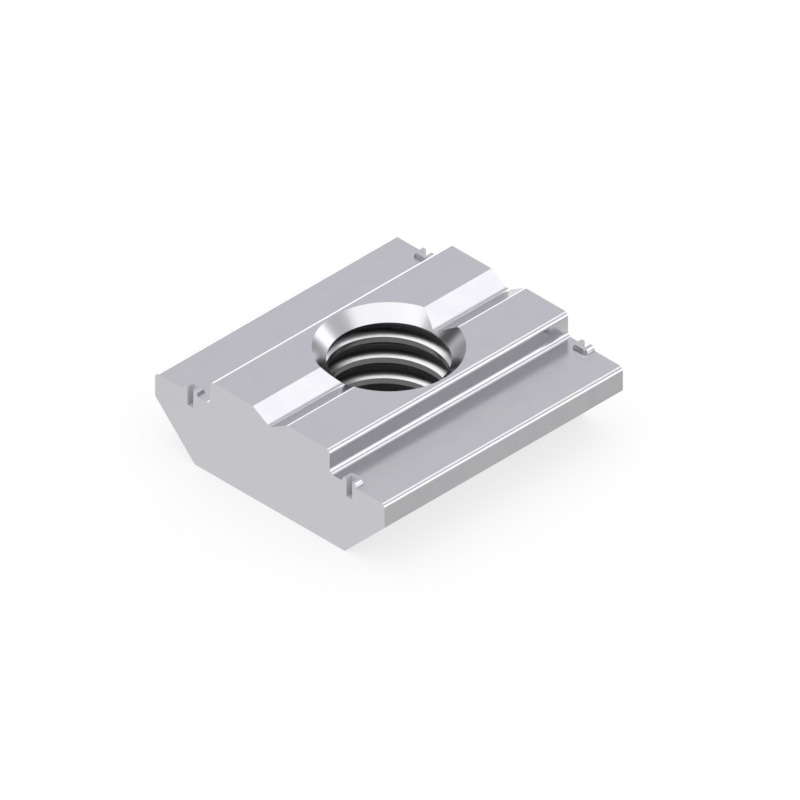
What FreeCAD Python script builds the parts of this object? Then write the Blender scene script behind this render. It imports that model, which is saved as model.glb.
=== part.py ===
"""Slot nut: a short length of drawn steel bar with a tapped hole and four staked claws.

The bar's section runs along Y. Its flat bottom lies on z = 0, the origin is the middle of that bottom, and
the hole's axis is Z. The raised block stands in the slot's mouth, the two flanges bear on the slot's lips,
and the claw at each end of each flange bites into a lip, so that the nut stays where it is put.
"""
import math
import os
import FreeCAD
import Part
import Sketcher

OUT_FOLDER = "parts"
NODE = "slot_nut"

# Driving dimensions in millimetres and degrees, each with what it sets
SIZES = (
    ("bar_length", 13.3, "length that the bar is cut to"),
    ("block_width", 6.68, "raised block that stands in the slot's mouth"),
    ("flange_width", 3.06, "how far each flange reaches beyond the block"),
    ("bevel_height", 2.22, "flat bottom to the upper end of the bevel"),
    ("side_height", 1.12, "upper end of the bevel to the top of the flange"),
    ("block_rise", 1.11, "top of the flange to the top of the block"),
    ("bevel_angle", 45.0, "bevel from the horizontal"),
    ("edge_radius", 0.23, "upper drawn edges of the block and the flanges"),
    ("foot_radius", 0.22, "inner corner where the block rises from a flange"),
    ("bevel_radius", 0.12, "blunt drawn edges at both ends of a bevel"),
    ("groove_width", 1.93, "centring groove, across the top of the block"),
    ("groove_angle", 120.0, "between the groove's two walls"),
    ("groove_radius", 0.30, "round bottom of the groove"),
    ("thread_major", 6.0, "nominal diameter of the screw"),
    ("thread_pitch", 1.0, "coarse pitch, by which the tapping bore is under the major diameter"),
    ("sink_margin", 0.1, "how much the countersink's mouth is over the major diameter"),
    ("sink_angle", 90.0, "between the countersink's walls"),
    ("exit_chamfer", 0.3, "break at the lower end of the bore"),
    ("claw_from_block", 1.09, "side of the block to the middle of a claw"),
    ("notch_width", 0.32, "width of the punch that raises a claw"),
    ("notch_length", 0.30, "how far the punch bites in from the cut end"),
    ("notch_depth", 0.65, "how far the punch goes below the flange's top"),
    ("collar_height", 0.21, "raised metal round the notch, above the flange"),
    ("collar_land", 0.16, "flat on top of the raised metal"),
    ("collar_wall", 0.06, "upright foot of the raised metal, below its leaning sides"),
    ("collar_lean", 28.0, "lean of the raised metal's sides from upright"),
    ("collar_corner", 0.12, "rounding of the land's two inner corners"),
)

# Numbers that sketches use for the ends of a line or arc, the sketch's origin and its two axes
START, END, MIDDLE = range(1, 4)
ORIGIN = (-1, START)
ACROSS, UPRIGHT = -1, -2

# Headings in a sketch, in degrees counter-clockwise from its X axis
ALONG_X, ALONG_Y, AGAINST_X, AGAINST_Y, FULL_TURN = range(0, 361, 90)

# Expressions that more than one feature uses
OVERALL_WIDTH = "(Dims.block_width + 2 * Dims.flange_width)"
FLANGE_TOP = "(Dims.bevel_height + Dims.side_height)"
BLOCK_TOP = f"({FLANGE_TOP} + Dims.block_rise)"
COLLAR_TOP = f"({FLANGE_TOP} + Dims.collar_height)"
HALF_LENGTH = "Dims.bar_length / 2"
TAPPING_BORE = "(Dims.thread_major - Dims.thread_pitch)"
CLAW_MIDDLE = "(Dims.block_width / 2 + Dims.claw_from_block)"
COLLAR_FOOT = f"({FLANGE_TOP} + Dims.collar_wall)"
COLLAR_SLANT = "(Dims.collar_height - Dims.collar_wall)"
COLLAR_SPREAD = f"{COLLAR_SLANT} * tan(Dims.collar_lean * 1 deg)"
COLLAR_HALF = f"(Dims.notch_width / 2 + Dims.collar_land + {COLLAR_SPREAD})"
COLLAR_DEPTH = f"(Dims.notch_length + Dims.collar_land + {COLLAR_SPREAD})"
COLLAR_TURN = f"(Dims.collar_corner + {COLLAR_SPREAD})"

MATCH = 1e-4

doc = FreeCAD.newDocument("slot_nut_model")


def make_sheet():
    """Put each driving dimension in a cell of its own, between its name and what it sets."""
    sheet = doc.addObject("Spreadsheet::Sheet", "Dims")
    for row, (name, value, meaning) in enumerate(SIZES, start=1):
        sheet.set(f"A{row}", name)
        sheet.set(f"B{row}", str(value))
        sheet.set(f"C{row}", meaning)
        sheet.setAlias(f"B{row}", name)
    doc.recompute()
    return sheet


sheet = make_sheet()
nut = doc.addObject("PartDesign::Body", "nut")
nut.Label = NODE


def worked_out(expression):
    """The present value of an expression in the sheet's dimensions."""
    value = sheet.evalExpression(expression)
    return float(value)


def plane(role):
    """One of the body's own origin planes, found by its role."""
    return next(feature for feature in nut.Origin.OriginFeatures if feature.Role == role)


def new_sketch(name, role, height=None):
    """A sketch on an origin plane, or at the height above it that an expression gives."""
    sketch = nut.newObject("Sketcher::SketchObject", name)
    sketch.AttachmentSupport = [(plane(role), "")]
    sketch.MapMode = "FlatFace"
    if height:
        sketch.setExpression("AttachmentOffset.Base.z", height)
    return sketch


def add_line(sketch, start, end):
    """A straight line between two points of the sketch."""
    sketch.addGeometry(Part.LineSegment(FreeCAD.Vector(*start, 0), FreeCAD.Vector(*end, 0)), False)


def add_arc(sketch, middle, radius, first, last):
    """An arc about a point, counter-clockwise between two angles in degrees."""
    circle = Part.Circle(FreeCAD.Vector(*middle, 0), FreeCAD.Vector(0, 0, 1), radius)
    sketch.addGeometry(Part.ArcOfCircle(circle, math.radians(first), math.radians(last)), False)


def hold(sketch, kind, *items):
    """Add a constraint and give its number."""
    return sketch.addConstraint(Sketcher.Constraint(kind, *items))


def drive(sketch, name, expression, kind, *items):
    """Add a dimension, name it and bind it to the sheet."""
    value = worked_out(expression)
    if kind == "Angle":
        value = math.radians(value)
        expression = f"({expression}) * 1 deg"
    sketch.renameConstraint(hold(sketch, kind, *items, value), name)
    sketch.setExpression(f"Constraints.{name}", expression)


def add_outline(sketch, points):
    """Straight lines from point to point and back to the first, joined end to end."""
    for corner, follower in zip(points, points[1:] + points[:1]):
        add_line(sketch, corner, follower)
    for line in range(len(points)):
        hold(sketch, "Coincident", line, END, (line + 1) % len(points), START)


def edges_where(shape, test):
    """Names of the shape's edges that pass a test."""
    return [f"Edge{number}" for number, edge in enumerate(shape.Edges, start=1) if test(edge)]


def runs_along(edge, places):
    """Whether an edge runs along Y through one of the (x, z) places, on either side of the nut."""
    ends = [vertex.Point for vertex in edge.Vertexes]
    return any(all(math.hypot(abs(end.x) - x, end.z - z) < MATCH for end in ends) for x, z in places)


def round_edges(name, base, edges, radius):
    """Round the named edges of a feature, to a radius in the sheet."""
    if not edges:
        raise ValueError(f"no edge found for {name}")
    fillet = nut.newObject("PartDesign::Fillet", name)
    fillet.Base = (base, edges)
    fillet.setExpression("Radius", radius)
    doc.recompute()
    return fillet


def add_bar():
    """The drawn bar: a symmetric section of block, flanges and bevels, with its edges rounded."""
    half_width, half_block = worked_out(OVERALL_WIDTH) / 2, worked_out("Dims.block_width / 2")
    bevel_top, flange_top = worked_out("Dims.bevel_height"), worked_out(FLANGE_TOP)
    block_top = worked_out(BLOCK_TOP)
    floor_half = half_width - bevel_top / math.tan(math.radians(worked_out("Dims.bevel_angle")))

    section = new_sketch("bar_section", "XZ_Plane")
    right = [(floor_half, 0), (half_width, bevel_top), (half_width, flange_top),
             (half_block, flange_top), (half_block, block_top)]
    left = [(-x, z) for x, z in reversed(right)]
    add_outline(section, right + left)
    bevel, side, flange, riser, crown, *_, floor = range(len(right + left))
    for line in range(len(right)):
        hold(section, "Symmetric", line, START, floor - line, START, UPRIGHT)
    hold(section, "PointOnObject", floor, START, ACROSS)
    hold(section, "Vertical", side)
    hold(section, "Horizontal", flange)
    hold(section, "Vertical", riser)
    drive(section, "width", OVERALL_WIDTH, "DistanceX", floor - flange, START, flange, START)
    drive(section, "block", "Dims.block_width", "DistanceX", floor - riser, START, riser, START)
    drive(section, "bevel_top", "Dims.bevel_height", "DistanceY", *ORIGIN, side, START)
    drive(section, "flange_top", FLANGE_TOP, "DistanceY", *ORIGIN, flange, START)
    drive(section, "block_top", BLOCK_TOP, "DistanceY", *ORIGIN, crown, START)
    drive(section, "bevel_slope", "Dims.bevel_angle", "Angle", bevel)

    bar = nut.newObject("PartDesign::Pad", "bar")
    bar.Profile = section
    bar.SideType = "Symmetric"
    bar.setExpression("Length", "Dims.bar_length")
    doc.recompute()

    drawn_edges = (("upper_edges", "Dims.edge_radius", [(half_width, flange_top), (half_block, block_top)]),
                   ("block_feet", "Dims.foot_radius", [(half_block, flange_top)]),
                   ("bevel_edges", "Dims.bevel_radius", [(half_width, bevel_top), (floor_half, 0)]))
    base = bar
    for name, radius, places in drawn_edges:
        edges = edges_where(base.Shape, lambda edge: runs_along(edge, places))
        base = round_edges(name, base, edges, radius)


def add_groove():
    """The centring groove along the top of the block: two straight walls and a round bottom."""
    half, radius = worked_out("Dims.groove_width / 2"), worked_out("Dims.groove_radius")
    slope_expression = f"{ALONG_Y} - Dims.groove_angle / 2"
    slope = worked_out(slope_expression)
    block_top = worked_out(BLOCK_TOP)
    sine, cosine = math.sin(math.radians(slope)), math.cos(math.radians(slope))
    middle = (0, block_top - half * sine / cosine + radius / cosine)
    wall_foot = middle[1] - radius * cosine

    section = new_sketch("groove_section", "XZ_Plane")
    add_line(section, (-half, block_top), (-radius * sine, wall_foot))
    add_arc(section, middle, radius, AGAINST_Y - slope, AGAINST_Y + slope)
    add_line(section, (radius * sine, wall_foot), (half, block_top))
    add_line(section, (half, block_top), (-half, block_top))
    left_wall, root, right_wall, mouth = range(4)
    hold(section, "Tangent", left_wall, END, root, START)
    hold(section, "Tangent", root, END, right_wall, START)
    hold(section, "Coincident", right_wall, END, mouth, START)
    hold(section, "Coincident", mouth, END, left_wall, START)
    hold(section, "Symmetric", mouth, START, mouth, END, UPRIGHT)
    hold(section, "PointOnObject", root, MIDDLE, UPRIGHT)
    drive(section, "width", "Dims.groove_width", "DistanceX", mouth, END, mouth, START)
    drive(section, "block_top", BLOCK_TOP, "DistanceY", *ORIGIN, mouth, START)
    drive(section, "slope", slope_expression, "Angle", right_wall)
    drive(section, "root_radius", "Dims.groove_radius", "Radius", root)

    groove = nut.newObject("PartDesign::Pocket", "centring_groove")
    groove.Profile = section
    groove.SideType = "Symmetric"
    groove.Type = "ThroughAll"
    doc.recompute()


def add_tapped_hole():
    """The bore for the thread, countersunk from the block's top and broken at its lower end."""
    centre = new_sketch("hole_centre", "XY_Plane", BLOCK_TOP)
    bore_radius = worked_out(TAPPING_BORE) / 2
    centre.addGeometry(Part.Circle(FreeCAD.Vector(), FreeCAD.Vector(0, 0, 1), bore_radius), False)
    hold(centre, "Coincident", 0, MIDDLE, *ORIGIN)
    drive(centre, "bore", TAPPING_BORE, "Diameter", 0)
    doc.recompute()

    hole = nut.newObject("PartDesign::Hole", "tapped_hole")
    hole.Profile = centre
    hole.DepthType = "ThroughAll"
    hole.HoleCutType = "Countersink"
    hole.setExpression("Diameter", TAPPING_BORE)
    hole.setExpression("HoleCutDiameter", "Dims.thread_major + Dims.sink_margin")
    hole.setExpression("HoleCutCountersinkAngle", "Dims.sink_angle")
    doc.recompute()

    lower_ends = edges_where(hole.Shape, lambda edge: isinstance(edge.Curve, Part.Circle)
                             and abs(edge.Curve.Center.z) < MATCH)
    chamfer = nut.newObject("PartDesign::Chamfer", "bore_exit")
    chamfer.Base = (hole, lower_ends)
    chamfer.setExpression("Size", "Dims.exit_chamfer")
    doc.recompute()


def add_rectangle(sketch, left, width, low, depth):
    """A rectangle whose place and size are four expressions, low being measured down from the origin."""
    x, y = worked_out(left), -worked_out(low)
    right, back = x + worked_out(width), y + worked_out(depth)
    add_outline(sketch, [(x, y), (right, y), (right, back), (x, back)])
    near_side, right_side, far_side, left_side = range(4)
    hold(sketch, "Horizontal", near_side)
    hold(sketch, "Vertical", right_side)
    hold(sketch, "Horizontal", far_side)
    hold(sketch, "Vertical", left_side)
    drive(sketch, "left", left, "DistanceX", *ORIGIN, near_side, START)
    drive(sketch, "width", width, "DistanceX", near_side, START, near_side, END)
    drive(sketch, "low", low, "DistanceY", near_side, START, *ORIGIN)
    drive(sketch, "depth", depth, "DistanceY", right_side, START, right_side, END)


def add_collar_outline(sketch):
    """The raised metal seen from above: a rounded rectangle whose middle lies on the cut end."""
    middle, end = worked_out(CLAW_MIDDLE), -worked_out(HALF_LENGTH)
    half, depth = worked_out(COLLAR_HALF), worked_out(COLLAR_DEPTH)
    turn = worked_out(COLLAR_TURN)
    left, right, low, high = middle - half, middle + half, end - depth, end + depth
    add_line(sketch, (left + turn, low), (right - turn, low))
    add_arc(sketch, (right - turn, low + turn), turn, AGAINST_Y, FULL_TURN)
    add_line(sketch, (right, low + turn), (right, high - turn))
    add_arc(sketch, (right - turn, high - turn), turn, ALONG_X, ALONG_Y)
    add_line(sketch, (right - turn, high), (left + turn, high))
    add_arc(sketch, (left + turn, high - turn), turn, ALONG_Y, AGAINST_X)
    add_line(sketch, (left, high - turn), (left, low + turn))
    add_arc(sketch, (left + turn, low + turn), turn, AGAINST_X, AGAINST_Y)
    low_side, low_turn, right_side, high_turn, high_side, back_turn, left_side, front_turn = range(8)
    for curve, follower in zip(range(8), (*range(1, 8), low_side)):
        hold(sketch, "Tangent", curve, END, follower, START)
    for line in (low_side, high_side):
        hold(sketch, "Horizontal", line)
    for line in (right_side, left_side):
        hold(sketch, "Vertical", line)
    for turned in (high_turn, back_turn, front_turn):
        hold(sketch, "Equal", low_turn, turned)
    drive(sketch, "turn", COLLAR_TURN, "Radius", low_turn)
    drive(sketch, "left", f"{CLAW_MIDDLE} - {COLLAR_HALF}", "DistanceX", *ORIGIN, left_side, START)
    drive(sketch, "width", f"2 * {COLLAR_HALF}", "DistanceX", left_side, START, right_side, START)
    drive(sketch, "low", f"{HALF_LENGTH} + {COLLAR_DEPTH}", "DistanceY", low_side, START, *ORIGIN)
    drive(sketch, "depth", f"2 * {COLLAR_DEPTH}", "DistanceY", low_side, START, high_side, START)


def add_pad(name, profile, length):
    """Metal straight up from a sketch, as high as an expression gives."""
    pad = nut.newObject("PartDesign::Pad", name)
    pad.Profile = profile
    pad.setExpression("Length", length)
    return pad


def add_pocket(name, profile, length):
    """A cut straight down from a sketch, as deep as an expression gives."""
    pocket = nut.newObject("PartDesign::Pocket", name)
    pocket.Profile = profile
    pocket.setExpression("Length", length)
    doc.recompute()
    return pocket


def add_claws():
    """A claw is raised metal, cut flush with the bar's end, round a notch; one stands at each flange end."""
    foot = new_sketch("collar_foot", "XY_Plane", FLANGE_TOP)
    add_collar_outline(foot)
    wall = add_pad("collar_wall", foot, "Dims.collar_wall")
    shoulder = new_sketch("collar_shoulder", "XY_Plane", COLLAR_FOOT)
    add_collar_outline(shoulder)
    slant = add_pad("collar_slant", shoulder, COLLAR_SLANT)
    slant.setExpression("TaperAngle", "-Dims.collar_lean")
    doc.recompute()

    beyond_end = new_sketch("beyond_end", "XY_Plane", COLLAR_TOP)
    add_rectangle(beyond_end, f"{CLAW_MIDDLE} - {COLLAR_HALF}", f"2 * {COLLAR_HALF}",
                  f"{HALF_LENGTH} + {COLLAR_DEPTH}", COLLAR_DEPTH)
    flush = add_pocket("flush_end", beyond_end, "Dims.collar_height")

    punch = new_sketch("punch", "XY_Plane", COLLAR_TOP)
    add_rectangle(punch, f"{CLAW_MIDDLE} - Dims.notch_width / 2", "Dims.notch_width",
                  HALF_LENGTH, "Dims.notch_length")
    notch = add_pocket("claw_notch", punch, "Dims.notch_depth + Dims.collar_height")

    claws = nut.newObject("PartDesign::MultiTransform", "four_claws")
    mirrors = []
    for name, role in (("claws_across", "YZ_Plane"), ("claws_along", "XZ_Plane")):
        mirror = nut.newObject("PartDesign::Mirrored", name)
        mirror.MirrorPlane = (plane(role), [""])
        mirrors.append(mirror)
    claws.Originals = [wall, slant, flush, notch]
    claws.Transformations = mirrors
    nut.Tip = claws
    doc.recompute()


def check_model():
    """Stop if a feature has failed, or if the nut isn't one valid solid."""
    doc.recompute()
    failed = [item.Name for item in doc.Objects if {"Invalid", "Error"} & set(item.State)]
    if failed:
        raise RuntimeError("these features failed: " + ", ".join(failed))
    if nut.Shape.isNull() or not nut.Shape.isValid() or len(nut.Shape.Solids) != 1:
        raise RuntimeError(f"{nut.Label} isn't one valid solid")


add_bar()
add_groove()
add_tapped_hole()
add_claws()
check_model()
os.makedirs(OUT_FOLDER, exist_ok=True)
nut.Shape.exportStep(os.path.join(OUT_FOLDER, f"{nut.Label}.step"))
print(f"{nut.Label}: volume {nut.Shape.Volume:.3f} mm3, box {nut.Shape.BoundBox}")
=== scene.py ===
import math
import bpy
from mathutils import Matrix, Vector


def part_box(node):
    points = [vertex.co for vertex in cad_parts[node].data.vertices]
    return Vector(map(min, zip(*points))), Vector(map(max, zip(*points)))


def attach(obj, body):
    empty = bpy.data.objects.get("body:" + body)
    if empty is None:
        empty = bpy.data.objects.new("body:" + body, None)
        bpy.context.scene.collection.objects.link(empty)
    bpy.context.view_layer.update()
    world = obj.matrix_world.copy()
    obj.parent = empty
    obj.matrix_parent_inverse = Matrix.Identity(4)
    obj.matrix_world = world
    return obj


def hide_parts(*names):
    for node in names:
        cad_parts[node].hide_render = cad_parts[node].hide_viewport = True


bl_info = {
    "name": "Slot Nut",
    "version": (1, 0, 0),
    "blender": (4, 5, 0),
    "location": "View3D > Sidebar > Slot Nut",
    "description": "A drawn steel slot nut with a tapped hole and four staked claws, on a pale studio floor",
    "category": "Add Mesh",
}

import bmesh
import bpy
import numpy as np
from bpy.props import FloatProperty, FloatVectorProperty, PointerProperty
from mathutils import Matrix, Vector

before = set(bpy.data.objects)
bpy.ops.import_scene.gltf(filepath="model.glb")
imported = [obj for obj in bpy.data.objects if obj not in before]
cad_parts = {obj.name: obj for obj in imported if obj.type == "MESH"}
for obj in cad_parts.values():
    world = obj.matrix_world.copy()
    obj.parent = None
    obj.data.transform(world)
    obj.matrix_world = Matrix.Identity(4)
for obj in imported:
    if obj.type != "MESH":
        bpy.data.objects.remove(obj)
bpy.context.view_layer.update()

NODE = "slot_nut"

# The nut is carved in millimetres and then scaled to metres, because small sizes lose digits in a cut
MM = 0.001

# Fineness of the mesh
ARC_STEP = math.radians(7.5)
TURN_COLUMNS = 192
SHARP_ANGLE = math.radians(28)
WELD = 1e-5

# How far a cutter passes beyond the metal that it cuts, in millimetres
OVERCUT = 0.4

# A metric thread: the flat of a crest in pitches, and a flank's slope
CREST_FLAT = 1 / 4
FLANK_ANGLE = math.radians(30)

# How deep the countersink's cutter reaches, in depths of the lip
SINK_REACH = 1.5

node_lowest, node_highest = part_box(NODE)
NUT_WIDTH = node_highest.x - node_lowest.x
NUT_LENGTH = node_highest.y - node_lowest.y
NUT_HEIGHT = node_highest.z - node_lowest.z


def length_property(name, description, millimetres):
    """A length that a user may change, given here in millimetres."""
    return FloatProperty(name=name, description=description, default=millimetres * MM, min=0.0,
                         precision=5, subtype="DISTANCE", unit="LENGTH")


def angle_property(name, description, degrees):
    """An angle that a user may change, given here in degrees."""
    return FloatProperty(name=name, description=description, default=math.radians(degrees),
                         subtype="ANGLE", unit="ROTATION")


def colour_property(name, description, colour):
    """A linear colour that a user may change."""
    return FloatVectorProperty(name=name, description=description, default=colour, size=3,
                               min=0.0, max=1.0, subtype="COLOR")


def share_property(name, description, value, highest=1.0):
    """A plain number that a user may change."""
    return FloatProperty(name=name, description=description, default=value, min=0.0, max=highest,
                         precision=3)


class SlotNutSizes(bpy.types.PropertyGroup):
    """Sizes of the drawn section, the tapped hole and the claws."""

    block_width: length_property("Block width", "Raised block that stands in the slot's mouth", 6.68)
    bevel_height: length_property("Bevel height", "Flat bottom to the upper end of the bevel", 2.22)
    block_rise: length_property("Block rise", "Top of a flange to the top of the block", 1.11)
    edge_radius: length_property("Edge radius", "Upper drawn edges of the block and the flanges", 0.23)
    foot_radius: length_property("Foot radius", "Inner corner where the block rises", 0.22)
    bevel_radius: length_property("Bevel radius", "Blunt edges at both ends of a bevel", 0.12)
    groove_width: length_property("Groove width", "Centring groove across the top of the block", 1.93)
    groove_angle: angle_property("Groove angle", "Between the groove's two walls", 120)
    groove_radius: length_property("Groove radius", "Round bottom of the groove", 0.30)
    groove_edge: length_property("Groove edge", "Blunt edges along the groove's mouth", 0.20)

    thread_major: length_property("Major diameter", "Thread's diameter at its roots", 6.0)
    thread_minor: length_property("Minor diameter", "Thread's diameter at its crests", 5.0)
    thread_pitch: length_property("Pitch", "Rise of the thread in one turn", 1.0)
    thread_start: length_property("Thread phase", "Height of a crest's middle on the +X side", 0.66)
    crest_round: length_property("Crest rounding", "Blunt edges of a crest", 0.025)
    root_round: length_property("Root rounding", "Hollow corners of a root", 0.10)
    sink_width: length_property("Countersink width", "Countersink across the top of the block", 6.1)
    sink_angle: angle_property("Countersink angle", "Between the countersink's walls", 90)
    lip_depth: length_property("Lip depth", "Top of the block to the lip over the thread", 0.575)
    exit_chamfer: length_property("Exit chamfer", "Break at the lower end of the bore", 0.3)

    claw_offset: length_property("Claw offset", "Side of the block to the middle of a claw", 1.09)
    notch_width: length_property("Notch width", "Width of the punch that raises a claw", 0.32)
    notch_length: length_property("Notch length", "How far the punch bites in from the cut end", 0.30)
    notch_depth: length_property("Notch depth", "How far the punch goes below the flange", 0.65)
    collar_height: length_property("Collar height", "Raised metal round the notch", 0.21)
    collar_land: length_property("Collar land", "Flat on top of the raised metal", 0.16)
    collar_wall: length_property("Collar wall", "Upright foot of the raised metal", 0.06)
    collar_lean: angle_property("Collar lean", "Lean of the raised metal's sides from upright", 28)
    collar_corner: length_property("Collar corner", "Rounding of the land's inner corners", 0.12)


class SlotNutFinish(bpy.types.PropertyGroup):
    """Colour and surface of the zinc-plated steel."""

    steel_colour: colour_property("Steel", "Bright zinc plate", (0.568, 0.565, 0.574))
    tint_colour: colour_property("Tint", "Cooler patches in the zinc plate", (0.552, 0.548, 0.576))
    sheared_colour: colour_property("Sheared steel", "The two cut ends", (0.563, 0.559, 0.586))
    turned_colour: colour_property("Turned steel", "Countersink", (0.555, 0.555, 0.56))
    # The crests keep the plain steel colour; the root colour is painted shade that darkens the thread towards
    # its roots, where the hole is shaded.
    crest_colour: colour_property("Thread crests", "Clean metal at the thread's crests", (0.55, 0.55, 0.55))
    root_colour: colour_property("Thread roots", "Oil dried in the thread's roots", (0.16, 0.16, 0.16))
    # The punched colour is paler than the steel, so that it paints light into the claws' shaded notches.
    punched_painted_light_colour: colour_property("Punched steel", "Torn metal in a claw's notch", (0.60, 0.60, 0.615))
    drawn_roughness: share_property("Drawn roughness", "Roughness along the drawn bar", 0.20)
    sheared_roughness: share_property("Sheared roughness", "Roughness of the two cut ends", 0.26)
    turned_roughness: share_property("Turned roughness", "Roughness of the countersink", 0.21)
    tapped_roughness: share_property("Tapped roughness", "Roughness of the thread's crests", 0.20)
    root_roughness: share_property("Root roughness", "Roughness of the oil in the thread's roots", 0.60)
    punched_roughness: share_property("Punched roughness", "Roughness of a claw's notch", 0.55)
    punched_metal: share_property("Punched metal", "How metallic the torn metal looks", 0.3)
    streak_width: length_property("Streak width", "Width of a drawing line", 0.09)
    streak_length: length_property("Streak length", "Length of a drawing line", 2.4)
    streak_height: length_property("Streak height", "Height of a drawing line", 0.0006)
    mottle_width: length_property("Mottle width", "Width of a patch in the plate", 0.9)
    grit_width: length_property("Grit width", "Width of a grain on a cut end", 0.07)
    # The thread's colour passes from the crest colour into the painted root shade between the first two
    # radii; its roughness rises between the last two.
    shade_start_radius: length_property("Clean radius", "Distance from the axis at which the thread is clean", 2.58)
    shade_full_radius: length_property("Oily radius", "Distance from the axis at which it is oily", 2.76)
    dull_radius: length_property("Dull radius", "Distance from the axis at which the oil is dull", 2.98)
    grit_height: length_property("Grit height", "Height of a grain on a cut end", 0.0003)
    tool_mark_width: length_property("Tool mark width", "Width of a mark down the countersink", 0.05)
    tool_mark_height: length_property("Tool mark height", "Height of such a mark", 0.0012)
    tap_mark_height: length_property("Tap mark height", "Height of a grain in the thread", 0.0004)


class SlotNutStage(bpy.types.PropertyGroup):
    """Camera, floor and light."""

    view_azimuth: angle_property("Azimuth", "Camera's turn round the nut, from looking along +Y", 45)
    view_elevation: angle_property("Elevation", "Camera's height above the floor", 35.264)
    frame_width: length_property("Frame width", "Width of the orthographic view", 31.56)
    camera_distance: length_property("Camera distance", "From the nut to the camera", 300)
    floor_width: length_property("Floor width", "Side of the square floor", 1600)
    floor_colour: colour_property("Floor", "Pale floor", (0.80, 0.80, 0.80))
    floor_drop: length_property("Floor drop", "Floor below the base, so that they don't share a plane", 0.002)
    sky_colour: colour_property("Sky", "Colour of the studio round the nut", (0.957, 0.952, 1.0))
    softbox_light: share_property("Softbox light", "Power of the softbox over the nut, in watts", 1.64, 100)
    softbox_height: length_property("Softbox height", "Height of the softbox over the floor", 400)
    middle_light: share_property("Middle light", "Radiance of the sky at the left", 0.87, 10)
    right_light: share_property("Right light", "Radiance of the sky at the right", 0.71, 10)
    horizon_light: share_property("Horizon light", "Radiance of the sky just above the floor", 0.365, 10)
    strip_light: share_property("Strip light", "Radiance of the low strip of light behind the nut", 2.4, 10)
    front_light: share_property("Front light", "Radiance of the low strip in front", 0.78, 10)
    gap_light: share_property("Gap light", "Radiance of the dark gap at the left", 0.05, 10)
    mirrored_floor: share_property("Mirrored floor", "Radiance of the floor that the steel shows", 1.0, 10)
    # The steel sees a painted darker floor at the nut's right and a painted shadow under the nut.
    mirrored_right_painted_shade: share_property("Mirrored right floor", "The same at the nut's right", 0.73, 10)
    mirrored_below_painted_shadow: share_property("Mirrored floor below", "The same under the nut", 0.25, 10)
    shadow_veil: share_property("Shadow veil", "Share of the nut's shadow that is lost in light", 0.75)


# Towards the middle of the dark gap between the studio's lights
GAP_DIRECTION = Vector((-0.84, -0.44, 0.31)).normalized()

# How far a direction agrees with the gap's at the gap's outer and inner border
GAP_BORDER = (0.955, 0.985)

# Borders of the sky's lights, each eased between two parts of a direction: across X, along Y or up Z
LEFT_TO_RIGHT = (-0.2, 0.5)
HORIZON_TOP = (0.10, 0.20)
STRIP_FOOT = (0.19, 0.26)
STRIP_TOP = (0.38, 0.45)
FRONT_TO_BACK = (0.0, 0.2)
SIDE_BEGINS = (0.25, 0.40)
SIDE_ENDS = (0.70, 0.85)

# How much lower the strip's foot reaches at both sides, past the horizon
STRIP_LOWERED = 0.3

# Borders of the floor that the steel mirrors: under the nut, at its right and far off, in nut widths; the
# darker floor under the nut is a painted shadow and the darker floor at its right is painted shade, both seen
# only in the steel.
UNDER_NUT = 0.95
RIGHT_OF_NUT = (0.5, 0.6)
FAR_FROM_NUT = (1, 2)

# Softbox over the nut: the middle of its face, in heights above the floor, and its two sides
SOFTBOX_PLACE = Vector((0.25, -0.20, 1.0))
SOFTBOX_LENGTH, SOFTBOX_WIDTH = 1.96, 1.66

# Nearest and farthest distance that the camera sees, in metres
CAMERA_REACH = (0.001, 10)

# Pixel of the 800 x 800 photograph where the middle of the nut's base lies
PHOTO_SIDE = 800
BASE_PIXEL = Vector((389.0, 438.9))


def rounded(corners, closed=True):
    """Points of an outline whose corners, each (across, up, radius), are rounded by arcs."""
    points = []
    count = len(corners)
    for place, (across, up, radius) in enumerate(corners):
        corner = Vector((across, up))
        at_end = not closed and place in (0, count - 1)
        if not radius or at_end:
            points.append(corner)
            continue
        back = Vector(corners[place - 1][:2]) - corner
        ahead = Vector(corners[(place + 1) % count][:2]) - corner
        opening = back.angle(ahead)
        turn = math.copysign(math.pi - opening, ahead.cross(back))
        inwards = (back.normalized() + ahead.normalized()).normalized()
        middle = corner + inwards * radius / math.sin(opening / 2)
        spoke = corner + back.normalized() * radius / math.tan(opening / 2) - middle
        steps = max(2, math.ceil(abs(turn) / ARC_STEP))
        points += [middle + Matrix.Rotation(turn * step / steps, 2) @ spoke for step in range(steps + 1)]
    return points


def solid_from(name, mesh):
    """A scene object from a bmesh, closed and with its faces turned outwards."""
    bmesh.ops.recalc_face_normals(mesh, faces=mesh.faces)
    data = bpy.data.meshes.new(name)
    mesh.to_mesh(data)
    mesh.free()
    solid = bpy.data.objects.new(name, data)
    bpy.context.scene.collection.objects.link(solid)
    return solid


def stack_of_rings(mesh, rings):
    """Skin rings of equally many points, from the lowest to the highest, and cap both ends."""
    levels = [[mesh.verts.new(point) for point in ring] for ring in rings]
    for lower, upper in zip(levels, levels[1:]):
        count = len(lower)
        for place in range(count):
            following = (place + 1) % count
            mesh.faces.new((lower[place], lower[following], upper[following], upper[place]))
    mesh.faces.new(levels[0])
    mesh.faces.new(levels[-1])


def turned(name, profile):
    """A solid of revolution round Z, from (radius, height) points between its two flat ends."""
    mesh = bmesh.new()
    angles = [2 * math.pi * column / TURN_COLUMNS for column in range(TURN_COLUMNS)]
    stack_of_rings(mesh, [[(radius * math.cos(angle), radius * math.sin(angle), height) for angle in angles]
                          for radius, height in profile])
    return solid_from(name, mesh)


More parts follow.
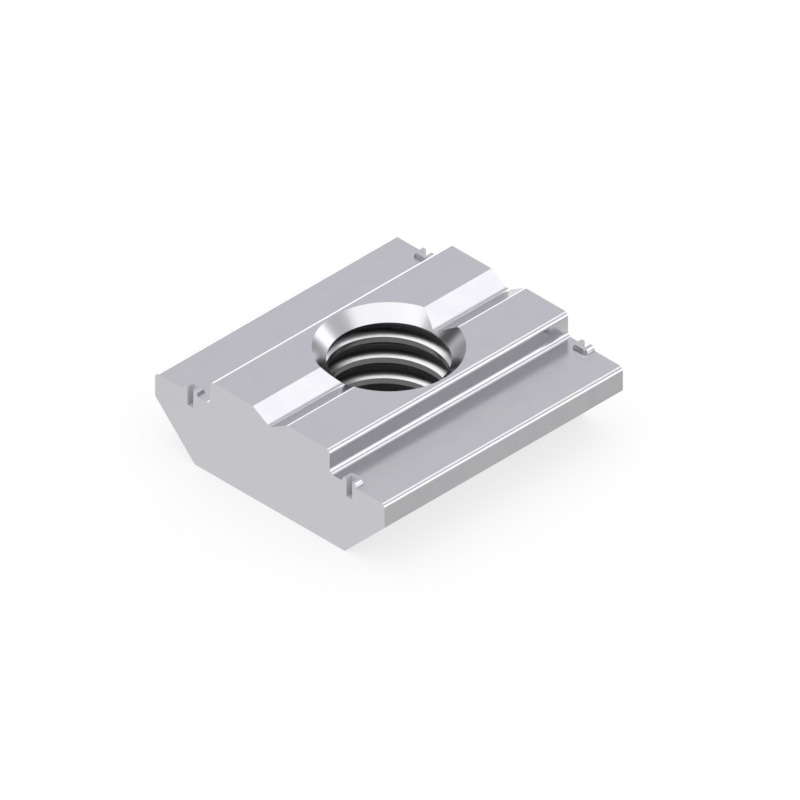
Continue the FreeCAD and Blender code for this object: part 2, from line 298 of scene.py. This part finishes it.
def block(name, lowest, highest):
    """A rectangular solid between two corners."""
    mesh = bmesh.new()
    add_block(mesh, lowest, highest)
    return solid_from(name, mesh)


def add_block(mesh, lowest, highest):
    """Add a rectangular solid to a mesh."""
    (left, near, low), (right, far, high) = lowest, highest
    outline = [(left, near), (right, near), (right, far), (left, far)]
    stack_of_rings(mesh, [[(x, y, height) for x, y in outline] for height in (low, high)])


def carve(piece, tool, operation):
    """Cut the tool from the piece, join it on or keep what both fill, and use the tool up."""
    cut = piece.modifiers.new(tool.name, "BOOLEAN")
    cut.operation = operation
    cut.solver = "EXACT"
    cut.object = tool
    bpy.context.view_layer.update()
    carved = bpy.data.meshes.new_from_object(piece.evaluated_get(bpy.context.evaluated_depsgraph_get()))
    piece.modifiers.clear()
    before = piece.data
    piece.data = carved
    bpy.data.meshes.remove(before)
    bpy.data.meshes.remove(tool.data)


class NutPlan:
    """The nut's sizes in millimetres, with those that follow from the frame and from each other."""

    def __init__(self, sizes):
        for name in SlotNutSizes.__annotations__:
            is_angle = name.endswith(("angle", "lean"))
            setattr(self, name, getattr(sizes, name) / (1 if is_angle else MM))
        self.half_width = NUT_WIDTH / 2 / MM
        self.half_length = NUT_LENGTH / 2 / MM
        self.block_top = NUT_HEIGHT / MM
        self.flange_top = self.block_top - self.block_rise
        self.floor_half = self.half_width - self.bevel_height
        self.claw_middle = self.block_width / 2 + self.claw_offset


def drawn_section(plan):
    """The bar's section as (across, up) points: flat bottom, bevels, flanges, block and groove."""
    groove_half = plan.groove_width / 2
    groove_floor = plan.block_top - groove_half / math.tan(plan.groove_angle / 2)
    right = [(plan.floor_half, 0, plan.bevel_radius),
             (plan.half_width, plan.bevel_height, plan.bevel_radius),
             (plan.half_width, plan.flange_top, plan.edge_radius),
             (plan.block_width / 2, plan.flange_top, plan.foot_radius),
             (plan.block_width / 2, plan.block_top, plan.edge_radius),
             (groove_half, plan.block_top, plan.groove_edge)]
    left = [(-across, up, radius) for across, up, radius in reversed(right)]
    return rounded(right + [(0, groove_floor, plan.groove_radius)] + left)


def make_bar(plan):
    """The drawn bar, a little longer than the nut."""
    mesh = bmesh.new()
    reach = plan.half_length + 2 * OVERCUT
    section = drawn_section(plan)
    stack_of_rings(mesh, [[(point.x, along, point.y) for point in section] for along in (-reach, reach)])
    return solid_from("bar", mesh)


def claw_places(plan):
    """The sides (right or left, far or near) of the four claws, with each one's middle on the cut end."""
    return [((across, along), (across * plan.claw_middle, along * plan.half_length))
            for across in (1, -1) for along in (1, -1)]


def make_collars(plan):
    """Raised metal of the four claws: a land, leaning sides and an upright foot, right across the cut end."""
    spread = (plan.collar_height - plan.collar_wall) * math.tan(plan.collar_lean)
    profile = [(spread, plan.flange_top - plan.edge_radius),
               (spread, plan.flange_top + plan.collar_wall),
               (0, plan.flange_top + plan.collar_height)]
    half_across = plan.notch_width / 2 + plan.collar_land
    half_along = plan.notch_length + plan.collar_land
    mesh = bmesh.new()
    for _, (middle_x, middle_y) in claw_places(plan):
        rings = []
        for outward, height in profile:
            across, along = half_across + outward, half_along + outward
            corner = plan.collar_corner + outward
            outline = rounded([(across, -along, corner), (across, along, corner),
                               (-across, along, corner), (-across, -along, corner)])
            rings.append([(middle_x + point.x, middle_y + point.y, height) for point in outline])
        stack_of_rings(mesh, rings)
    return solid_from("collars", mesh)


def make_notches(plan):
    """The four punched notches, open at the cut ends."""
    mesh = bmesh.new()
    low, high = plan.flange_top - plan.notch_depth, plan.flange_top + plan.collar_height + OVERCUT
    for (_, along), (middle_x, _) in claw_places(plan):
        inner, outer = plan.half_length - plan.notch_length, plan.half_length + OVERCUT
        near, far = sorted((along * inner, along * outer))
        half = plan.notch_width / 2
        add_block(mesh, (middle_x - half, near, low), (middle_x + half, far, high))
    return solid_from("notches", mesh)


def thread_profile(plan):
    """One pitch of the thread as (height, radius) points, from a crest's middle to the next one's."""
    crest, root = plan.thread_minor / 2, plan.thread_major / 2
    half_flat = plan.thread_pitch * CREST_FLAT / 2
    flank = (root - crest) * math.tan(FLANK_ANGLE)
    return rounded([(0, crest, 0),
                    (half_flat, crest, plan.crest_round),
                    (half_flat + flank, root, plan.root_round),
                    (plan.thread_pitch - half_flat - flank, root, plan.root_round),
                    (plan.thread_pitch - half_flat, crest, plan.crest_round),
                    (plan.thread_pitch, crest, 0)], closed=False)


def make_tap(plan):
    """The space that the right-hand thread leaves open, up to a flat under the countersink's lip."""
    pitch = plan.thread_pitch
    profile = thread_profile(plan)
    heights = [point.x for point in profile]
    radii = [point.y for point in profile]
    low, high = -OVERCUT, plan.block_top - plan.lip_depth
    first = plan.thread_start + pitch * (math.floor((low - plan.thread_start) / pitch) - 1)
    turns = math.ceil((high - first) / pitch) + 1

    mesh = bmesh.new()
    columns = []
    for column in range(turns * TURN_COLUMNS + 1):
        angle = 2 * math.pi * (column % TURN_COLUMNS) / TURN_COLUMNS
        base = first + pitch * column / TURN_COLUMNS
        strip = []
        for step in heights:
            height = min(max(base + step, low), high)
            radius = np.interp(min(max(height - base, 0), pitch), heights, radii)
            strip.append(mesh.verts.new((radius * math.cos(angle), radius * math.sin(angle), height)))
        columns.append(strip)
    for here, following in zip(columns, columns[1:]):
        for place in range(len(heights) - 1):
            mesh.faces.new((here[place], following[place], following[place + 1], here[place + 1]))
    bmesh.ops.remove_doubles(mesh, verts=mesh.verts, dist=WELD)
    bmesh.ops.dissolve_degenerate(mesh, edges=mesh.edges, dist=WELD)
    rims = [edge for edge in mesh.edges if len(edge.link_faces) == 1]
    bmesh.ops.holes_fill(mesh, edges=rims, sides=0)
    return solid_from("tap", mesh)


def make_countersink(plan):
    """The countersink's cone, from inside the bore to above the block."""
    slope = math.tan(plan.sink_angle / 2)
    low, high = plan.block_top - SINK_REACH * plan.lip_depth, plan.block_top + OVERCUT
    rim = plan.sink_width / 2
    return turned("countersink", [(rim + (height - plan.block_top) * slope, height)
                                  for height in (low, high)])


def make_exit(plan):
    """The cone that breaks the lower end of the bore."""
    rim = plan.thread_minor / 2 + plan.exit_chamfer
    return turned("exit", [(rim - height, height) for height in (-OVERCUT, 2 * plan.exit_chamfer)])


def tidy_mesh(piece):
    """Weld what the cuts left double, mark the sharp edges and shade the rest smooth."""
    mesh = bmesh.new()
    mesh.from_mesh(piece.data)
    bmesh.ops.remove_doubles(mesh, verts=mesh.verts, dist=WELD)
    bmesh.ops.dissolve_degenerate(mesh, edges=mesh.edges, dist=WELD)
    for edge in mesh.edges:
        edge.smooth = edge.calc_face_angle(0.0) < SHARP_ANGLE
    for face in mesh.faces:
        face.smooth = True
    open_edges = sum(1 for edge in mesh.edges if len(edge.link_faces) != 2)
    if open_edges:
        raise RuntimeError(f"{open_edges} edges of the nut aren't between two faces")
    mesh.to_mesh(piece.data)
    mesh.free()


def carve_nut(plan):
    """The whole nut in millimetres: the bar, its claws and its hole."""
    nut = make_bar(plan)
    carve(nut, make_collars(plan), "UNION")
    reach = 2 * plan.half_width
    slab = block("slab", (-reach, -plan.half_length, -reach), (reach, plan.half_length, reach))
    carve(nut, slab, "INTERSECT")
    carve(nut, make_notches(plan), "DIFFERENCE")
    carve(nut, make_tap(plan), "DIFFERENCE")
    carve(nut, make_countersink(plan), "DIFFERENCE")
    carve(nut, make_exit(plan), "DIFFERENCE")
    tidy_mesh(nut)
    return nut


class Socket:
    """A socket of a shader's nodes, on which Python's operators add Math nodes."""

    def __init__(self, shader, source):
        self.shader = shader
        self.source = source

    def worked(self, operation, first, second):
        """The socket of a Math node on two values."""
        return self.shader.add("ShaderNodeMath", {"operation": operation}, {0: first, 1: second})

    def __add__(self, other):
        return self.worked("ADD", self, other)

    def __sub__(self, other):
        return self.worked("SUBTRACT", self, other)

    def __rsub__(self, other):
        return self.worked("SUBTRACT", other, self)

    def __mul__(self, other):
        return self.worked("MULTIPLY", self, other)

    def __abs__(self):
        return self.worked("ABSOLUTE", self, 0.0)

    __radd__ = __add__
    __rmul__ = __mul__


class Shader:
    """The node tree of a material or of the world, emptied and then filled node by node."""

    def __init__(self, owner):
        owner.use_nodes = True
        self.tree = owner.node_tree
        self.tree.nodes.clear()

    def add(self, kind, settings=None, inputs=None, output=0):
        """Add a node with its settings and its sockets' values or links, and give one output."""
        node = self.tree.nodes.new(kind)
        for name, value in (settings or {}).items():
            setattr(node, name, value)
        for name, value in (inputs or {}).items():
            if isinstance(value, Socket):
                self.tree.links.new(value.source, node.inputs[name])
            else:
                node.inputs[name].default_value = value
        return Socket(self, node.outputs[output]) if len(node.outputs) else None

    def scaled(self, vector, scale):
        """A vector with each part times its own scale."""
        return self.add("ShaderNodeVectorMath", {"operation": "MULTIPLY"}, {0: vector, 1: scale})

    def noise(self, vector, octaves_and_sharpness):
        """Noise from 0 to 1 whose grain is one unit of the vector."""
        detail, roughness = octaves_and_sharpness
        return self.add("ShaderNodeTexNoise", {"noise_dimensions": "3D"},
                        {"Vector": vector, "Scale": 1.0, "Detail": detail, "Roughness": roughness}, "Fac")

    def parts(self, vector):
        """The X, Y and Z of a vector, each as a socket of its own."""
        split = self.add("ShaderNodeSeparateXYZ", None, {0: vector}, output="X").source.node
        return {axis: Socket(self, split.outputs[axis]) for axis in "XYZ"}

    def along(self, vector, direction):
        """How far a vector reaches in a fixed direction."""
        return self.add("ShaderNodeVectorMath", {"operation": "DOT_PRODUCT"}, {0: vector, 1: direction},
                        output="Value")

    def blend(self, factor, first, second):
        """A colour between two others."""
        mix = self.tree.nodes.new("ShaderNodeMix")
        mix.data_type = "RGBA"
        self.tree.links.new(factor.source, mix.inputs[0])
        for socket, colour in ((mix.inputs[6], first), (mix.inputs[7], second)):
            if isinstance(colour, Socket):
                self.tree.links.new(colour.source, socket)
            else:
                socket.default_value = (*colour, 1.0)
        return Socket(self, mix.outputs[2])

    def eased(self, value, low, high, to_low=0.0, to_high=1.0):
        """A value taken smoothly from one range to another and held at its ends."""
        return self.add("ShaderNodeMapRange", {"interpolation_type": "SMOOTHSTEP", "clamp": True},
                        {"Value": value, "From Min": low, "From Max": high,
                         "To Min": to_low, "To Max": to_high})


# Middle of a noise, and its octaves and sharpness in patches and in fine grain
NOISE_MIDDLE = 0.5
PATCH_NOISE = (3.0, 0.5)
FINE_NOISE = (4.0, 0.6)

# Part of the patches' noise over which one colour passes into the other
PATCH_BORDER = (0.35, 0.65)

# How many times longer than wide a grain is that the blade drew down
BLADE_STRETCH = 3

# How much each finish's roughness changes with its grain
DRAWN_CHANGE, SHEARED_CHANGE, TURNED_CHANGE, TAPPED_CHANGE, PUNCHED_CHANGE = 0.10, 0.04, 0.12, 0.12, 0.10

# Radius at which the tool marks have their given width, in metres
MARKED_RADIUS = 2.6 * MM


def steel(colour, roughness, metal, grain, mottle, relief, change):
    """Steel whose grain gives it a fine relief, and with its patches a varying roughness."""
    shader = grain.shader
    gloss = roughness + (grain - NOISE_MIDDLE) * change + (mottle - NOISE_MIDDLE) * (change / 2)
    bump = shader.add("ShaderNodeBump", None, {"Strength": 1.0, "Distance": relief, "Height": grain})
    surface = shader.add("ShaderNodeBsdfPrincipled", None,
                         {"Base Color": colour, "Metallic": metal, "Roughness": gloss, "Normal": bump})
    shader.add("ShaderNodeOutputMaterial", None, {"Surface": surface})


def new_steel(name, finish):
    """A new material with its shader, the place on the nut and the plate's patches."""
    material = bpy.data.materials.new(name)
    shader = Shader(material)
    place = shader.add("ShaderNodeTexCoord", output="Object")
    mottle = shader.noise(shader.scaled(place, [1 / finish.mottle_width] * 3), PATCH_NOISE)
    return material, shader, place, mottle


def drawn_steel(finish):
    """The drawn sides: bright zinc plate with lines along the bar."""
    material, shader, place, mottle = new_steel("drawn_steel", finish)
    size = (finish.streak_width, finish.streak_length, finish.streak_width)
    lines = shader.noise(shader.scaled(place, [1 / side for side in size]), FINE_NOISE)
    colour = shader.blend(shader.eased(mottle, *PATCH_BORDER), finish.steel_colour, finish.tint_colour)
    steel(colour, finish.drawn_roughness, 1.0, lines, mottle, finish.streak_height, DRAWN_CHANGE)
    return material


def sheared_steel(finish):
    """The two cut ends: an even, slightly rougher grain drawn down by the blade."""
    material, shader, place, mottle = new_steel("sheared_steel", finish)
    size = (finish.grit_width, finish.grit_width, BLADE_STRETCH * finish.grit_width)
    grit = shader.noise(shader.scaled(place, [1 / side for side in size]), FINE_NOISE)
    steel((*finish.sheared_colour, 1.0), finish.sheared_roughness, 1.0, grit, mottle,
          finish.grit_height, SHEARED_CHANGE)
    return material


def turned_steel(finish):
    """The countersink: fine marks that run down towards the hole's axis."""
    material, shader, place, mottle = new_steel("turned_steel", finish)
    flat = shader.scaled(place, (1, 1, 0))
    heading = shader.add("ShaderNodeVectorMath", {"operation": "NORMALIZE"}, {0: flat})
    turns = MARKED_RADIUS / finish.tool_mark_width
    marks_along = shader.scaled(place, (0, 0, 1 / finish.streak_length))
    spread = shader.add("ShaderNodeVectorMath", {"operation": "ADD"},
                        {0: shader.scaled(heading, (turns, turns, 0)), 1: marks_along})
    marks = shader.noise(spread, FINE_NOISE)
    steel((*finish.turned_colour, 1.0), finish.turned_roughness, 1.0, marks, mottle,
          finish.tool_mark_height, TURNED_CHANGE)
    return material


def tapped_steel(finish):
    """The thread: bright at its crests, darkened towards its roots by painted shade, and rougher in its
    roots.
    """
    material, shader, place, mottle = new_steel("tapped_steel", finish)
    grit = shader.noise(shader.scaled(place, [1 / finish.grit_width] * 3), FINE_NOISE)
    away = shader.add("ShaderNodeVectorMath", {"operation": "LENGTH"}, {0: shader.scaled(place, (1, 1, 0))},
                      output="Value")
    # Painted shade: the colour darkens towards the thread's roots.
    root_shade = shader.eased(away, finish.shade_start_radius, finish.shade_full_radius)
    colour = shader.blend(root_shade, finish.crest_colour, finish.root_colour)
    roughness = shader.eased(away, finish.shade_full_radius, finish.dull_radius,
                             finish.tapped_roughness, finish.root_roughness)
    steel(colour, roughness, 1.0, grit, mottle, finish.tap_mark_height, TAPPED_CHANGE)
    return material


def punched_steel(finish):
    """The claws' notches: torn metal, rougher and less metallic than the plate, with a paler colour that
    paints light into the shaded notch.
    """
    material, shader, place, mottle = new_steel("punched_steel", finish)
    grit = shader.noise(shader.scaled(place, [1 / finish.grit_width] * 3), FINE_NOISE)
    # Painted light: the notch is paler than the plate, so that its recess looks lit.
    colour = shader.blend(mottle, finish.punched_painted_light_colour, finish.steel_colour)
    steel(colour, finish.punched_roughness, finish.punched_metal, grit, mottle,
          finish.streak_height, PUNCHED_CHANGE)
    return material


STEELS = (drawn_steel, sheared_steel, turned_steel, tapped_steel, punched_steel)
DRAWN, SHEARED, TURNED, TAPPED, PUNCHED = range(len(STEELS))


# How near a face's middle comes to a place that it counts as being on, in millimetres
NEAR = 0.01

# Share of its direction that a level or upright face has along that axis
SQUARE = 0.999


def finish_of(face, plan):
    """Which of the nut's materials a face has, by its place and direction, in millimetres."""
    across, along, up = face.center
    if abs(face.normal.y) > SQUARE and abs(abs(along) - plan.half_length) < NEAR:
        return SHEARED
    beside_claw = abs(abs(across) - plan.claw_middle) < plan.notch_width / 2 + NEAR
    at_end = abs(along) > plan.half_length - plan.notch_length - NEAR
    under_land = plan.bevel_height < up < plan.flange_top + plan.collar_height - NEAR
    if beside_claw and at_end and under_land:
        return PUNCHED
    if math.hypot(across, along) > plan.sink_width / 2:
        return DRAWN
    on_outside = up > plan.block_top - NEAR or up < NEAR
    if abs(face.normal.z) > SQUARE and on_outside:
        return DRAWN
    lip = plan.block_top - plan.lip_depth
    return TURNED if up > lip + NEAR or up < plan.exit_chamfer else TAPPED


class SLOTNUT_OT_make_nut(bpy.types.Operator):
    """Build the slot nut with its thread, in place of the plain solid"""

    bl_idname = "slot_nut.make_nut"
    bl_label = "Make the nut"

    def execute(self, context):
        plan = NutPlan(context.scene.slot_nut_sizes)
        nut = carve_nut(plan)
        nut.name = nut.data.name = "threaded_slot_nut"
        for steel_of in STEELS:
            nut.data.materials.append(steel_of(context.scene.slot_nut_finish))
        for face in nut.data.polygons:
            face.material_index = finish_of(face, plan)
        nut.data.transform(Matrix.Scale(MM, 4))
        even = nut.modifiers.new("even_normals", "WEIGHTED_NORMAL")
        even.keep_sharp = True
        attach(nut, "root")
        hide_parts(NODE)
        return {"FINISHED"}


def make_floor(stage):
    """A pale matt floor under the nut, whiter in view and in the steel than its light makes it; in the steel
    it shows a painted shadow under the nut and painted shade at its right.
    """
    mesh = bmesh.new()
    half = stage.floor_width / 2
    corners = [mesh.verts.new((x, y, -stage.floor_drop))
               for x, y in ((-half, -half), (half, -half), (half, half), (-half, half))]
    mesh.faces.new(corners)
    floor = solid_from("floor", mesh)
    material = bpy.data.materials.new("pale_floor")
    shader = Shader(material)
    matt = shader.add("ShaderNodeBsdfDiffuse", None, {"Color": (*stage.floor_colour, 1.0)})
    place = shader.parts(shader.add("ShaderNodeTexCoord", output="Object"))
    beside = shader.eased(abs(place["X"]), UNDER_NUT * NUT_WIDTH / 2, NUT_WIDTH / 2)
    before = shader.eased(abs(place["Y"]), UNDER_NUT * NUT_LENGTH / 2, NUT_LENGTH / 2)
    in_the_open = 1 - (1 - beside) * (1 - before)
    open_floor = shader.eased(place["X"], *(share * NUT_WIDTH for share in RIGHT_OF_NUT),
                              stage.mirrored_floor, stage.mirrored_right_painted_shade)
    far_off = shader.eased(place["X"], *(share * NUT_WIDTH for share in FAR_FROM_NUT))
    lit_floor = far_off * stage.mirrored_floor + (1 - far_off) * open_floor
    # Painted shadow under the nut and painted shade at its right, as the steel mirrors them.
    mirrored = in_the_open * lit_floor + (1 - in_the_open) * stage.mirrored_below_painted_shadow
    in_a_mirror = shader.add("ShaderNodeLightPath", output="Is Glossy Ray")
    in_view = shader.add("ShaderNodeLightPath", output="Is Camera Ray")
    white = shader.add("ShaderNodeEmission", None,
                       {"Color": in_a_mirror * mirrored + in_view, "Strength": 1.0})
    surface = shader.add("ShaderNodeMixShader", None,
                         {0: in_a_mirror + in_view * stage.shadow_veil, 1: matt, 2: white})
    shader.add("ShaderNodeOutputMaterial", None, {"Surface": surface})
    floor.data.materials.append(material)


def light_sky(stage):
    """A plain studio sky for the steel to mirror, with a low bright strip and a dark gap; white in view."""
    world = bpy.data.worlds.new("studio_sky")
    bpy.context.scene.world = world
    shader = Shader(world)
    direction = shader.add("ShaderNodeTexCoord", output="Generated")
    heading = shader.parts(direction)
    middle = shader.eased(heading["X"], *LEFT_TO_RIGHT, stage.middle_light, stage.right_light)
    upper = shader.eased(heading["Z"], *HORIZON_TOP, stage.horizon_light, middle)
    beside = shader.eased(heading["Y"], *SIDE_BEGINS) - shader.eased(heading["Y"], *SIDE_ENDS)
    lowered = heading["Z"] + beside * STRIP_LOWERED
    strip = shader.eased(lowered, *STRIP_FOOT) - shader.eased(heading["Z"], *STRIP_TOP)
    low = shader.eased(heading["Y"], *FRONT_TO_BACK, stage.front_light, stage.strip_light)
    sky = strip * low + (1 - strip) * upper
    open_sky = 1 - shader.eased(shader.along(direction, GAP_DIRECTION), *GAP_BORDER)
    radiance = sky * open_sky + (1 - open_sky) * stage.gap_light
    studio = shader.add("ShaderNodeBackground", None,
                        {"Color": (*stage.sky_colour, 1.0), "Strength": radiance})
    white = shader.add("ShaderNodeBackground", None, {"Color": (1, 1, 1, 1), "Strength": 1.0})
    in_view = shader.add("ShaderNodeLightPath", output="Is Camera Ray")
    surface = shader.add("ShaderNodeMixShader", None, {0: in_view, 1: studio, 2: white})
    shader.add("ShaderNodeOutputWorld", None, {"Surface": surface})


def light_softbox(stage):
    """A long soft lamp over the nut, turned like the camera."""
    data = bpy.data.lights.new("softbox", "AREA")
    data.shape = "RECTANGLE"
    data.energy = stage.softbox_light
    data.size = SOFTBOX_LENGTH * stage.softbox_height
    data.size_y = SOFTBOX_WIDTH * stage.softbox_height
    softbox = bpy.data.objects.new("softbox", data)
    bpy.context.scene.collection.objects.link(softbox)
    turn = Matrix.Rotation(stage.view_azimuth, 4, "Z")
    softbox.matrix_world = Matrix.Translation(SOFTBOX_PLACE * stage.softbox_height) @ turn


def place_camera(stage):
    """An orthographic camera at the photograph's angle, with the nut at the photograph's place."""
    data = bpy.data.cameras.new("camera")
    data.type = "ORTHO"
    data.ortho_scale = stage.frame_width
    data.clip_start, data.clip_end = CAMERA_REACH
    camera = bpy.data.objects.new("camera", data)
    bpy.context.scene.collection.objects.link(camera)
    flat = math.cos(stage.view_elevation)
    back = Vector((math.sin(stage.view_azimuth) * flat, -math.cos(stage.view_azimuth) * flat,
                   math.sin(stage.view_elevation)))
    turn = back.to_track_quat("Z", "Y")
    metres_per_pixel = stage.frame_width / PHOTO_SIDE
    right, down = (Vector((PHOTO_SIDE / 2, PHOTO_SIDE / 2)) - BASE_PIXEL) * metres_per_pixel
    aim = turn @ Vector((right, -down, 0))
    camera.location = aim + back * stage.camera_distance
    camera.rotation_euler = turn.to_euler()
    bpy.context.scene.camera = camera


class SLOTNUT_OT_make_stage(bpy.types.Operator):
    """Set the floor, the light and the camera"""

    bl_idname = "slot_nut.make_stage"
    bl_label = "Make the stage"

    def execute(self, context):
        stage = context.scene.slot_nut_stage
        make_floor(stage)
        light_sky(stage)
        light_softbox(stage)
        place_camera(stage)
        context.scene.view_settings.view_transform = "Standard"
        return {"FINISHED"}


class SLOTNUT_PT_sidebar(bpy.types.Panel):
    """Buttons that build the nut and its stage, and the values that they use"""

    bl_idname = "SLOTNUT_PT_sidebar"
    bl_label = "Slot Nut"
    bl_space_type = "VIEW_3D"
    bl_region_type = "UI"
    bl_category = "Slot Nut"

    def draw(self, context):
        for operator in OPERATORS:
            self.layout.operator(operator.bl_idname)
        for group_name, group in GROUPS.items():
            box = self.layout.box()
            box.label(text=group_name.replace("_", " ").capitalize())
            for value_name in group.__annotations__:
                box.prop(getattr(context.scene, group_name), value_name)


GROUPS = {"slot_nut_sizes": SlotNutSizes, "slot_nut_finish": SlotNutFinish, "slot_nut_stage": SlotNutStage}
OPERATORS = (SLOTNUT_OT_make_nut, SLOTNUT_OT_make_stage)
CLASSES = (*GROUPS.values(), *OPERATORS, SLOTNUT_PT_sidebar)


def register():
    """Add the classes, and the values to the scene."""
    for kind in CLASSES:
        bpy.utils.register_class(kind)
    for name, group in GROUPS.items():
        setattr(bpy.types.Scene, name, PointerProperty(type=group))


def unregister():
    """Take the values and the classes away again."""
    for name in GROUPS:
        delattr(bpy.types.Scene, name)
    for kind in reversed(CLASSES):
        bpy.utils.unregister_class(kind)


def main():
    """Build the nut and its stage."""
    register()
    bpy.ops.slot_nut.make_nut()
    bpy.ops.slot_nut.make_stage()


if __name__ == "__main__":
    main()
